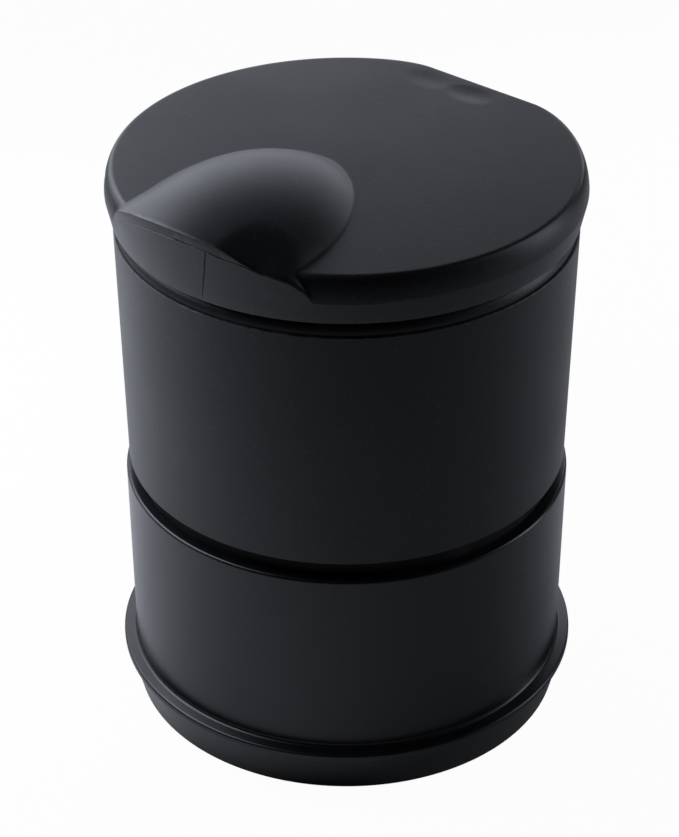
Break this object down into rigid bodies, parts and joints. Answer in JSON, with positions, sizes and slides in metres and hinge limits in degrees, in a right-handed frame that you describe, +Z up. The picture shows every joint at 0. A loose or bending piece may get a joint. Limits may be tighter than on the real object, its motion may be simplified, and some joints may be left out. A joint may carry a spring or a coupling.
{
  "type": "car ashtray",
  "caption": "Round plastic ashtray for a car cup holder: lower cup with a flanged foot, lift-out ash unit with a steel bowl, and a hinged lid with a raised thumb lift.",
  "frame": {"origin": "middle of the foot's underside, on the surface that the ashtray stands on", "axes": "+Z up along the cup's axis, -Y towards the lid's thumb lift, +Y towards the hinge"},
  "size_m": [0.0746, 0.076, 0.0995],
  "materials": {
    "grained_plastic": "black, fine matt grain",
    "satin_plastic": "black, smooth satin",
    "black_rubber": "black, dull",
    "bowl_steel": "pressed, lightly brushed",
    "bright_steel": "drawn, bright"
  },
  "bodies": {
    "base": {"lower_cup": "satin_plastic", "base_pad": "black_rubber", "anti_rattle_ring": "black_rubber", "upper_body": "grained_plastic", "collar": "grained_plastic", "ash_bowl": "bowl_steel", "bowl_seal": "black_rubber", "cigarette_rest": "bowl_steel", "hinge_pin": "bright_steel", "hinge_spring": "bright_steel"},
    "lid": {"lid": "grained_plastic", "lid_liner": "bowl_steel", "lid_screws": "bright_steel"}
  },
  "joints": [
    {"name": "lid_hinge", "type": "hinge", "parent": "base", "child": "lid", "pos_m": [0, 0.0336, 0.0888], "axis": [-1, 0, 0], "range_deg": [0, 105], "stiffness_Nm_per_rad": 0.008, "springref_deg": -28.65, "deforming": ["hinge_spring"]}
  ]
}
